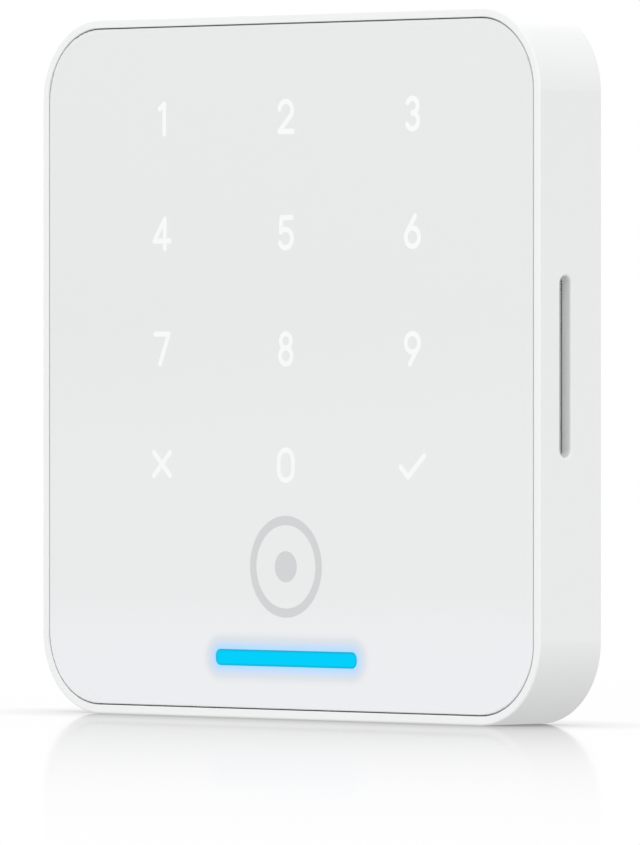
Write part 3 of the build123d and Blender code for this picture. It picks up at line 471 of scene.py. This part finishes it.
MATERIALS = {
    "panel_white": panel_white(),
    "legend_white": legend_white(),
    "tap_grey": tap_grey(),
    "light_cyan": light_cyan(),
    "housing_white": housing_white(),
    "foam_black": foam("foam_black"),
    "film_white": film_white("film_white"),
    "circuit_board": circuit_board(),
    "copper_foil": metal("copper_foil", 0.32, streak_mm=0.3, tone=0.12),
    "ferrite_grey": ferrite_grey(),
    "frame_white": film_white("frame_white"),
    "chip_black": moulded("chip_black", 0.5, grain_mm=0.15, grain_depth_mm=0.01, tone=0.15),
    "led_yellow": led_yellow(),
    "screw_steel": metal("screw_steel", 0.3, streak=(1, 1, 6), streak_mm=0.4),
    "tinned_steel": metal("tinned_steel", 0.34, streak=(8, 1, 1), streak_mm=1.6),
    "can_aluminium": metal("can_aluminium", 0.28, streak=(1, 0.1, 1), streak_mm=0.3),
    "mesh_grey": metal("mesh_grey", 0.4, streak_mm=0.1, tone=0.1, gain=MESH_GAIN),
    "cover_grey": moulded("cover_grey", 0.5, grain_mm=0.45, grain_depth_mm=0.02, tone=0.02),
    "seal_grey": silicone("seal_grey"),
    "membrane_white": membrane_white(),
    "label_paper": label_paper(),
    "jack_black": moulded("jack_black", 0.42, grain_mm=0.3, grain_depth_mm=0.006, tone=0.15),
    "contact_gold": metal("contact_gold", 0.22, streak=(1, 0.2, 1), streak_mm=0.2, tone=0.08),
    "button_black": moulded("button_black", 0.4, grain_mm=0.25, grain_depth_mm=0.006, tone=0.1),
    "plate_steel": plate_steel(),
    "washer_nylon": moulded("washer_nylon", 0.45, grain_mm=0.3, grain_depth_mm=0.006, tone=0.04),
    "insert_brass": metal("insert_brass", 0.26, streak=(1, 1, 6), streak_mm=0.3, tone=0.08),
}

for name, node in NODES.items():
    node.data.materials.clear()
    node.data.materials.append(MATERIALS[SLOT_OF[name]])


# ---------------------------------------------------------------- the mesh behind the sound slot

WIRE_PITCH = 0.3 * MM
WIRE_R = 0.048 * MM
WIRE_SIDES = 6


def add_wire(cloth, points, across, over):
    """Sweep a small round section along points; across and over span the section."""
    rings = []
    for point in points:
        turns = [2 * math.pi * side / WIRE_SIDES for side in range(WIRE_SIDES)]
        rings.append([cloth.verts.new(point + WIRE_R * (math.cos(turn) * across + math.sin(turn) * over))
                      for turn in turns])
    for near, far in zip(rings, rings[1:]):
        for side in range(WIRE_SIDES):
            beside = (side + 1) % WIRE_SIDES
            cloth.faces.new((near[side], near[beside], far[beside], far[side]))
    cloth.faces.new(rings[0][::-1])
    cloth.faces.new(rings[-1])


def sound_mesh():
    """Plain weave: each wire passes over one crossing wire and under the next."""
    low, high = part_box("sound_mesh")
    middle = (low[0] + high[0]) / 2
    rise = (high[0] - low[0]) / 2 - WIRE_R
    cloth = bmesh.new()
    outward = Vector((1, 0, 0))
    for along, beside in ((1, 2), (2, 1)):
        wires = int((high[beside] - low[beside]) / WIRE_PITCH)
        steps = 2 * int((high[along] - low[along]) / WIRE_PITCH)
        first = (low[beside] + high[beside]) / 2 - (wires - 1) * WIRE_PITCH / 2
        start = (low[along] + high[along]) / 2 - steps * WIRE_PITCH / 4
        for wire in range(wires):
            points = []
            for step in range(steps + 1):
                point = Vector((middle, 0, 0))
                point[beside] = first + wire * WIRE_PITCH
                point[along] = start + step * WIRE_PITCH / 2
                phase = math.pi * (step / 2 + wire + along)
                point.x += rise * math.sin(phase)
                points.append(point)
            side = Vector((0, 0, 0))
            side[beside] = 1.0
            add_wire(cloth, points, side, outward)
    bmesh.ops.recalc_face_normals(cloth, faces=cloth.faces)
    mesh = bpy.data.meshes.new("woven_sound_mesh")
    cloth.to_mesh(mesh)
    cloth.free()
    for face in mesh.polygons:
        face.use_smooth = True
    mesh.materials.append(MATERIALS["mesh_grey"])
    piece = bpy.data.objects.new("woven_sound_mesh", mesh)
    bpy.context.scene.collection.objects.link(piece)
    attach(piece, "reader")
    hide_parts("sound_mesh")


sound_mesh()

# ---------------------------------------------------------------- camera, floor and light

PANEL_CENTRE = Vector(((PANEL_LOW[0] + PANEL_HIGH[0]) / 2, PANEL_LOW[1],
                       (PANEL_LOW[2] + PANEL_HIGH[2]) / 2))
FLOOR_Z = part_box("front_housing")[0][2]

# A long lens turned half a right angle from the panel, level but for a third of a degree
LENS = 473.85
VIEW_TURN = math.radians(45.018)
VIEW_DROP = math.radians(0.3131)
CAMERA_BACK = 1.3555
CAMERA_ASIDE = 0.00417
CAMERA_UP = 0.000595
ahead = Vector((-math.sin(VIEW_TURN), math.cos(VIEW_TURN), 0.0))
aside = Vector((math.cos(VIEW_TURN), math.sin(VIEW_TURN), 0.0))
camera_data = bpy.data.cameras.new("camera")
camera_data.lens = LENS
camera_data.clip_start = 0.05
camera_data.clip_end = 20.0
camera = bpy.data.objects.new("camera", camera_data)
camera.location = PANEL_CENTRE - CAMERA_BACK * ahead + CAMERA_ASIDE * aside + Vector((0, 0, CAMERA_UP))
camera.rotation_euler = (math.pi / 2 - VIEW_DROP, 0.0, VIEW_TURN)
bpy.context.scene.collection.objects.link(camera)
bpy.context.scene.camera = camera


# Floor: size, the share and tone of its mirror image, and the painted shadow where the object stands
FLOOR_REACH = 6.0
FLOOR_CELLS = 8
FLOOR_ROUGHNESS = 0.06
FLOOR_LIGHT = 0.64          # what it gives the object
FADE_LENGTH = 0.09
MIRROR = 0.55
MIRROR_TONE = 0.58
SHADOW = 0.8
SHADOW_REACH = 0.015

# Reflected surroundings overhead, against 1 / MIRROR_TONE at the horizon
ZENITH = 0.8

# Softboxes: name, place, what each faces, width, height and power
SIDE_FOOT = (0.043, -0.005, FLOOR_Z + 0.01)
SOFTBOXES = (
    ("overhead", (0.25, -0.15, 0.9), PANEL_CENTRE, 0.9, 0.9, 0.78),
    ("front", (0.12, -0.75, 0.05), PANEL_CENTRE, 0.9, 0.25, 1.15),
    ("behind", (-0.45, 0.6, 0.35), PANEL_CENTRE, 0.5, 0.5, 0.9),
    ("low", (0.133, -0.005, FLOOR_Z + 0.01), SIDE_FOOT, 0.06, 0.03, 0.0045),
)


def softbox(name, place, target, width, height, power):
    """A rectangular light at a place, facing a target."""
    data = bpy.data.lights.new(name, "AREA")
    data.shape = "RECTANGLE"
    data.size = width
    data.size_y = height
    data.energy = power
    lamp = bpy.data.objects.new(name, data)
    lamp.location = place
    lamp.rotation_euler = (Vector(target) - Vector(place)).to_track_quat("-Z", "Y").to_euler()
    bpy.context.scene.collection.objects.link(lamp)


def floor():
    """White floor: a faint painted shadow at the object's foot and a mirror image that soon fades out."""
    mesh = bpy.data.meshes.new("floor")
    grid = bmesh.new()
    bmesh.ops.create_grid(grid, x_segments=FLOOR_CELLS, y_segments=FLOOR_CELLS, size=FLOOR_REACH)
    grid.to_mesh(mesh)
    grid.free()
    piece = bpy.data.objects.new("floor", mesh)
    piece.location.z = FLOOR_Z
    bpy.context.scene.collection.objects.link(piece)
    shade = Shade("floor_gloss")
    x, y, _ = shade.axes()
    beside = shade.math("MAXIMUM", shade.math("SUBTRACT", shade.math("ABSOLUTE", x), PANEL_HIGH[0]), 0.0)
    before = shade.math("MAXIMUM", shade.math("SUBTRACT", PANEL_LOW[1], y), 0.0)
    fade = shade.math("EXPONENT", shade.math("DIVIDE", shade.length(beside, before), -FADE_LENGTH))
    gloss = shade.add("ShaderNodeBsdfGlossy")
    gloss.inputs["Roughness"].default_value = FLOOR_ROUGHNESS
    gloss.inputs["Color"].default_value = (*[MIRROR_TONE] * 3, 1)
    # Painted shadow: the floor's glow is dimmed where the object hides its open sky
    open_sky = shade.add("ShaderNodeAmbientOcclusion")
    open_sky.inputs["Distance"].default_value = SHADOW_REACH
    base = shade.glow(shade.spread(open_sky.outputs["AO"], 1.0 - SHADOW, 1.0))
    slant = shade.add("ShaderNodeLayerWeight").outputs["Facing"]
    sheen = shade.math("MULTIPLY", shade.math("MULTIPLY", slant, slant), MIRROR)
    shown = shade.mix_shaders(shade.math("MULTIPLY", fade, sheen), base, gloss.outputs[0])
    seen = shade.add("ShaderNodeLightPath").outputs["Is Camera Ray"]
    surface = shade.mix_shaders(seen, shade.glow(FLOOR_LIGHT), shown)
    shade.link(surface, shade.tree.nodes["Material Output"].inputs["Surface"])
    mesh.materials.append(shade.material)


def studio():
    """White surroundings: even as light, and in reflections brightest at the horizon."""
    world = bpy.data.worlds.new("studio")
    world.use_nodes = True
    tree = world.node_tree
    backdrop = tree.nodes["Background"]
    split = tree.nodes.new("ShaderNodeSeparateXYZ")
    tree.links.new(tree.nodes.new("ShaderNodeTexCoord").outputs["Generated"], split.inputs[0])
    height = tree.nodes.new("ShaderNodeMapRange")
    height.inputs["To Min"].default_value = 1.0 / MIRROR_TONE
    height.inputs["To Max"].default_value = ZENITH
    tree.links.new(split.outputs["Z"], height.inputs["Value"])
    only_gloss = tree.nodes.new("ShaderNodeMix")
    reflected = tree.nodes.new("ShaderNodeLightPath").outputs["Is Glossy Ray"]
    tree.links.new(reflected, only_gloss.inputs["Factor"])
    only_gloss.inputs["A"].default_value = 1.0
    tree.links.new(height.outputs["Result"], only_gloss.inputs["B"])
    tree.links.new(only_gloss.outputs["Result"], backdrop.inputs["Strength"])
    backdrop.inputs["Color"].default_value = WHITE
    bpy.context.scene.world = world


floor()
studio()
for settings in SOFTBOXES:
    softbox(*settings)
bpy.context.scene.view_settings.view_transform = "Standard"
